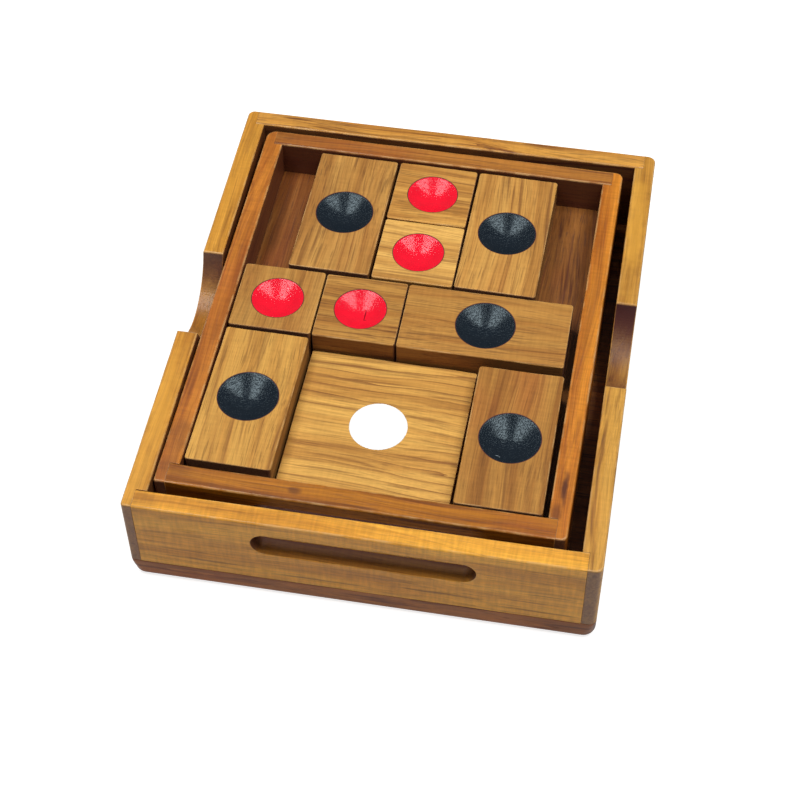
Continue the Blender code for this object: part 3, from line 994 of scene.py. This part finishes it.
def plan_of(half_x, half_y, radii):
    """A block's plan: points round a rectangle with round corners, each with the way it faces."""
    corners = []
    for quarter, (radius, sign) in enumerate(zip(radii, SIGNS)):
        centre = Vector((sign[0] * (half_x - radius), sign[1] * (half_y - radius), 0))
        turns = [quarter + step / BLOCK_CORNER_STEPS for step in range(BLOCK_CORNER_STEPS + 1)]
        facing = [Vector((math.cos(t * math.pi / 2), math.sin(t * math.pi / 2), 0)) for t in turns]
        corners.append([(centre + outward * radius, outward) for outward in facing])
    plan = []
    for corner, following in zip(corners, corners[1:] + corners[:1]):
        plan += corner
        start, outward = corner[-1]
        run = following[0][0] - start
        pieces = round(run.length / BLOCK_PIECE)
        plan += [(start + run * i / pieces, outward) for i in range(1, pieces)]
    return plan


def block_rings(plan, height, seed):
    """Rings of points up a block's outside, with its lower and upper edges rounded unevenly."""
    rings = []
    for level, way in ((0.0, 1), (height, -1)):
        edge = []
        for step in range(BLOCK_EDGE_STEPS + 1):
            angle = step / BLOCK_EDGE_STEPS * math.pi / 2
            ring = []
            for point, outward in plan:
                place = point + Vector((0, 0, level))
                uneven = max(-1, min(1, unevenness(place, seed, 160, 520)))
                round_off = sizes().block_edge * (1 + 0.5 * uneven)
                inset = round_off * (1 - math.sin(angle))
                rise = round_off * (1 - math.cos(angle))
                ring.append(place - outward * inset + Vector((0, 0, way * rise)))
            edge.append(ring)
        rings += edge[::way]
    return rings


def dimple_drop(at, radius, depth):
    """How far a dimple's wall lies below the block's top: a cone, a little steeper towards its rim."""
    return depth * (1 - (at / radius) ** DIMPLE_CURVE)


def dimple_rings(ring, height, radius, depth):
    """Rings of points down a dimple, on the same bearings as the points of the ring round it."""
    tip = sizes().dimple_tip
    lip = sizes().cut
    levels = [
        (radius + 0.5 * lip, 0.0),
        (radius, 0.1 * lip),
        (radius - 0.5 * lip, dimple_drop(radius - 0.4 * lip, radius, depth)),
    ]
    inner = radius - lip
    for step in range(DIMPLE_STEPS + 1):
        at = inner + (tip - inner) * step / DIMPLE_STEPS
        levels.append((at, depth if step == DIMPLE_STEPS else dimple_drop(at, radius, depth)))
    bearings = [Vector((point.x, point.y, 0)).normalized() for point in ring]
    return [[bearing * at + Vector((0, 0, height - drop)) for bearing in bearings] for at, drop in levels]


def build_block(name, board, dimpled=True):
    lie, high = block_sizes(name)
    mean = sizes().block_corner
    radii = [mean * (1 + 0.25 * noise.noise(Vector((board.seed, i * 3.1, 0.5)))) for i in range(4)]
    plan = plan_of(high.x, high.y, radii)
    bm = bmesh.new()
    worn_and_sheen_layer = bm.verts.layers.float.new("worn")
    painted_shade_layer = bm.loops.layers.float.new("stained")
    outside = block_rings(plan, high.z, board.seed)
    inside = dimple_rings(outside[-1], high.z, *dimple_of(name)) if dimpled else []
    rings = [[bm.verts.new(point) for point in ring] for ring in outside + inside]
    # Paled middles of the rounded edges: partly rubbing, partly a painted highlight
    for ring in rings[1:BLOCK_EDGE_STEPS] + rings[BLOCK_EDGE_STEPS + 2 : 2 * BLOCK_EDGE_STEPS + 1]:
        for vert in ring:
            vert[worn_and_sheen_layer] = 1.0
    bm.faces.new(reversed(rings[0]))
    bm.faces.new(rings[-1])
    top = 2 * BLOCK_EDGE_STEPS + 1
    # Painted shade on the upright sides and on the dimple's wood
    painted_shades = [0.0] * (top + 1) + [DIMPLE_PAINTED_SHADE] * (len(rings) - top)
    painted_shades[BLOCK_EDGE_STEPS] = BLOCK_SIDE_PAINTED_SHADE
    for level, (lower, upper) in enumerate(zip(rings, rings[1:])):
        for i in range(len(plan)):
            j = (i + 1) % len(plan)
            face = bm.faces.new((lower[i], lower[j], upper[j], upper[i]))
            straight = plan[i][1].dot(plan[j][1]) > 0.999
            flat = level == top or (level == BLOCK_EDGE_STEPS and straight)
            face.material_index = 0 if flat else 1
            for corner in face.loops:
                corner[painted_shade_layer] = painted_shades[level]
    mesh = bpy.data.meshes.new(f"{name}_wood")
    shade(bm, mesh)
    block = link(mesh, mesh.name)
    finish_piece(block, lie, timber(name, board, "block", SATIN), name, name)


def lathe(name, profile, wobble, seed):
    """A closed round piece from (radius, height) points, first and last on the axis."""
    bm = bmesh.new()
    rings = []
    for radius, height in profile[1:-1]:
        ring = []
        for i in range(PAINT_SIDES):
            angle = 2 * math.pi * i / PAINT_SIDES
            direction = Vector((math.cos(angle), math.sin(angle), 0))
            uneven = 1 + wobble * noise.noise(direction * 2.5 + Vector((seed, 0, 0)))
            ring.append(bm.verts.new(direction * radius * uneven + Vector((0, 0, height))))
        rings.append(ring)
    join_rings(bm, rings)
    for ring, (_, height) in ((rings[0], profile[0]), (rings[-1], profile[-1])):
        tip = bm.verts.new((0, 0, height))
        for i in range(PAINT_SIDES):
            bm.faces.new((ring[i], ring[(i + 1) % PAINT_SIDES], tip))
    obj = object_from(bm, name)
    obj.data.shade_smooth()
    return obj


def paint_dimple(name, board, material):
    """A skin of paint over the dimple's wall, up to just under its rim."""
    lie, high = block_sizes(name)
    radius, depth = dimple_of(name)
    coat = sizes().paint
    outer = radius - 0.1 * MM

    def wall(at):
        return high.z - dimple_drop(at, radius, depth)

    profile = []
    for step in range(PAINT_STEPS + 1):
        at = outer * step / PAINT_STEPS
        pool = sizes().paint_pool * (1 - (at / outer) ** 2)
        height = high.z - depth + math.hypot(wall(at) - wall(0), pool)
        profile.append((at, height + coat * (1 - 0.7 * (at / outer) ** 8)))
    profile += [(outer + 0.03 * MM, wall(outer) + 0.01 * MM), (outer + 0.03 * MM, wall(outer) - 0.02 * MM)]
    profile += [(radius * share, wall(radius * share) - coat) for share in (0.8, 0.5, 0.2, 0.0)]
    skin = lathe(f"{name}_paint", profile, 0.006, board.seed)
    finish_piece(skin, lie, material, name)


def build_painted_block(name, board, paint, roughness, grit):
    shade = getattr(colours(), paint)
    material = enamel(f"{name}_enamel", shade, roughness, grit, marks=PAINT_MARKS.get(name, ()))
    build_block(name, board)
    paint_dimple(name, board, material)


def build_king_block():
    name = "king_block"
    build_block(name, KING_BLOCK[name], dimpled=False)
    lie, high = block_sizes(name)
    radius, coat, top = sizes().spot_radius, sizes().paint, high.z
    profile = [(at, top + coat) for at in (0, radius * 0.5, radius - 0.15 * MM)]
    profile += [(radius - 0.04 * MM, top + 0.6 * coat), (radius, top)]
    profile += [(at, top - coat) for at in (radius - 0.1 * MM, 0)]
    spot = lathe(f"{name}_spot", profile, 0.004, 5.0)
    white = enamel("white_enamel", colours().white_paint, 0.35, 0.15, 0.01)
    finish_piece(spot, lie, white, name)


# Operators


class PUZZLE_OT_case_panel(bpy.types.Operator):
    """Makes the case's bottom panel"""

    bl_idname = "puzzle.case_panel"
    bl_label = "Case panel"

    def execute(self, context):
        build_panel()
        return {"FINISHED"}


class PUZZLE_OT_case_walls(bpy.types.Operator):
    """Makes the case's four walls, with the slot and the finger notches"""

    bl_idname = "puzzle.case_walls"
    bl_label = "Case walls"

    def execute(self, context):
        panel_low, panel_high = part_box("case_bottom_panel")
        lie = Matrix.Translation(((panel_low.x + panel_high.x) / 2, (panel_low.y + panel_high.y) / 2, 0))
        walls = walls_of("case", lie, panel_high.z)
        for place in WALLS:
            build_wall(walls, place, CASE_BOARDS)
        return {"FINISHED"}


class PUZZLE_OT_tray_floor(bpy.types.Operator):
    """Makes the tray's floor"""

    bl_idname = "puzzle.tray_floor"
    bl_label = "Tray floor"

    def execute(self, context):
        build_tray_floor()
        return {"FINISHED"}


class PUZZLE_OT_tray_walls(bpy.types.Operator):
    """Makes the tray's four walls, with the slot in the front one"""

    bl_idname = "puzzle.tray_walls"
    bl_label = "Tray walls"

    def execute(self, context):
        lie = lie_of("tray_floor")
        bottom = box_of(points_in("tray_wall_front", lie))[0].z
        walls = walls_of("tray", lie, bottom)
        for place in WALLS:
            build_wall(walls, place, TRAY_BOARDS)
        return {"FINISHED"}


class PUZZLE_OT_long_blocks(bpy.types.Operator):
    """Makes the five long blocks and the black paint in their dimples"""

    bl_idname = "puzzle.long_blocks"
    bl_label = "Long blocks"

    def execute(self, context):
        for name, board in LONG_BLOCKS.items():
            build_painted_block(name, board, "black_paint", 0.07, 1.0)
        return {"FINISHED"}


class PUZZLE_OT_small_blocks(bpy.types.Operator):
    """Makes the four small blocks and the red paint in their dimples"""

    bl_idname = "puzzle.small_blocks"
    bl_label = "Small blocks"

    def execute(self, context):
        for name, board in SMALL_BLOCKS.items():
            build_painted_block(name, board, "red_paint", 0.06, 0.45)
        return {"FINISHED"}


class PUZZLE_OT_king_block(bpy.types.Operator):
    """Makes the king block and its white spot"""

    bl_idname = "puzzle.king_block"
    bl_label = "King block"

    def execute(self, context):
        build_king_block()
        return {"FINISHED"}


class PUZZLE_OT_stage(bpy.types.Operator):
    """Lays the floor, hangs the softboxes and sets the camera"""

    bl_idname = "puzzle.stage"
    bl_label = "Stage"

    def execute(self, context):
        stage = context.scene.puzzle_stage
        lay_floor(stage)
        for sign in (-1, 1):
            hang_softbox(stage, sign)
        set_camera(context.scene, stage)
        set_world(context.scene, stage)
        context.scene.view_settings.view_transform = "Standard"
        return {"FINISHED"}


def lay_floor(stage):
    """A plain white floor, level with the case's underside."""
    bm = bmesh.new()
    bmesh.ops.create_grid(bm, x_segments=8, y_segments=8, size=stage.floor_size / 2)
    floor = object_from(bm, "floor")
    floor.location.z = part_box("case_bottom_panel")[0].z
    bench = Bench("floor_white")
    inputs = bench.shader.inputs
    inputs["Base Color"].default_value = (*(stage.floor_shade,) * 3, 1)
    inputs["Roughness"].default_value = 1.0
    inputs["Specular IOR Level"].default_value = 0.0
    inputs["Emission Color"].default_value = WHITE
    inputs["Emission Strength"].default_value = stage.floor_glow
    path = bench.nodes.new("ShaderNodeLightPath")
    lift = bench.math("MULTIPLY", path.outputs["Is Camera Ray"], stage.floor_lift)
    glow = bench.add("Emission", {"Color": WHITE, "Strength": lift})
    both = bench.add("AddShader", {0: bench.shader.outputs[0], 1: glow})
    bench.feed(bench.nodes["Material Output"].inputs["Surface"], both)
    floor.data.materials.append(bench.material)


def hang_softbox(stage, sign):
    """A softbox to the right for sign 1 and to the left for sign -1."""
    side = "right" if sign > 0 else "left"
    light = bpy.data.lights.new(f"softbox_{side}", "AREA")
    light.shape = "RECTANGLE"
    light.size = stage.softbox_width
    light.size_y = stage.softbox_length
    light.energy = stage.softbox_power
    elevation = stage.softbox_elevation
    direction = Vector((sign * math.cos(elevation), 0, math.sin(elevation)))
    obj = link(light, light.name)
    obj.location = direction * stage.softbox_distance
    obj.rotation_euler = (0, sign * (math.pi / 2 - elevation), 0)


def set_camera(scene, stage):
    cam = bpy.data.cameras.new("camera")
    cam.lens = stage.lens
    cam.sensor_width = stage.sensor
    az, el = stage.azimuth, stage.elevation
    back = Vector((math.sin(az) * math.cos(el), -math.cos(az) * math.cos(el), math.sin(el)))
    right = Vector((math.cos(az), math.sin(az), 0))
    across = right * math.cos(stage.roll) + back.cross(right) * math.sin(stage.roll)
    matrix = Matrix((across, back.cross(across), back)).transposed().to_4x4()
    matrix.translation = Vector(stage.target) + back * stage.distance
    obj = link(cam, "camera")
    obj.matrix_world = matrix
    scene.camera = obj


def set_world(scene, stage):
    """Dim light from all round; straight behind the puzzle the room looks white."""
    world = bpy.data.worlds.new("room")
    world.use_nodes = True
    scene.world = world
    nodes, links = world.node_tree.nodes, world.node_tree.links
    room = nodes["Background"]
    room.inputs["Color"].default_value = WHITE
    room.inputs["Strength"].default_value = stage.room_light
    backdrop = nodes.new("ShaderNodeBackground")
    backdrop.inputs["Color"].default_value = WHITE
    path = nodes.new("ShaderNodeLightPath")
    mix = nodes.new("ShaderNodeMixShader")
    links.new(path.outputs["Is Camera Ray"], mix.inputs[0])
    links.new(room.outputs[0], mix.inputs[1])
    links.new(backdrop.outputs[0], mix.inputs[2])
    links.new(mix.outputs[0], nodes["World Output"].inputs["Surface"])


OPERATORS = (
    PUZZLE_OT_case_panel,
    PUZZLE_OT_case_walls,
    PUZZLE_OT_tray_floor,
    PUZZLE_OT_tray_walls,
    PUZZLE_OT_long_blocks,
    PUZZLE_OT_small_blocks,
    PUZZLE_OT_king_block,
    PUZZLE_OT_stage,
)


class PUZZLE_PT_panel(bpy.types.Panel):
    """Lists the pieces in the order they are made"""

    bl_idname = "PUZZLE_PT_panel"
    bl_label = "Block Puzzle"
    bl_space_type = "VIEW_3D"
    bl_region_type = "UI"
    bl_category = "Block Puzzle"

    def draw(self, context):
        for operator in OPERATORS:
            self.layout.operator(operator.bl_idname)


GROUPS = {
    "puzzle_sizes": PUZZLE_PG_sizes,
    "puzzle_colours": PUZZLE_PG_colours,
    "puzzle_stage": PUZZLE_PG_stage,
}


def register():
    for name, group in GROUPS.items():
        bpy.utils.register_class(group)
        setattr(bpy.types.Scene, name, PointerProperty(type=group))
    for cls in (*OPERATORS, PUZZLE_PT_panel):
        bpy.utils.register_class(cls)


def unregister():
    for cls in (PUZZLE_PT_panel, *reversed(OPERATORS)):
        bpy.utils.unregister_class(cls)
    for name, group in GROUPS.items():
        delattr(bpy.types.Scene, name)
        bpy.utils.unregister_class(group)


def main():
    register()
    bpy.ops.puzzle.case_panel()
    bpy.ops.puzzle.case_walls()
    bpy.ops.puzzle.tray_floor()
    bpy.ops.puzzle.tray_walls()
    bpy.ops.puzzle.long_blocks()
    bpy.ops.puzzle.small_blocks()
    bpy.ops.puzzle.king_block()
    bpy.ops.puzzle.stage()


if __name__ == "__main__":
    main()
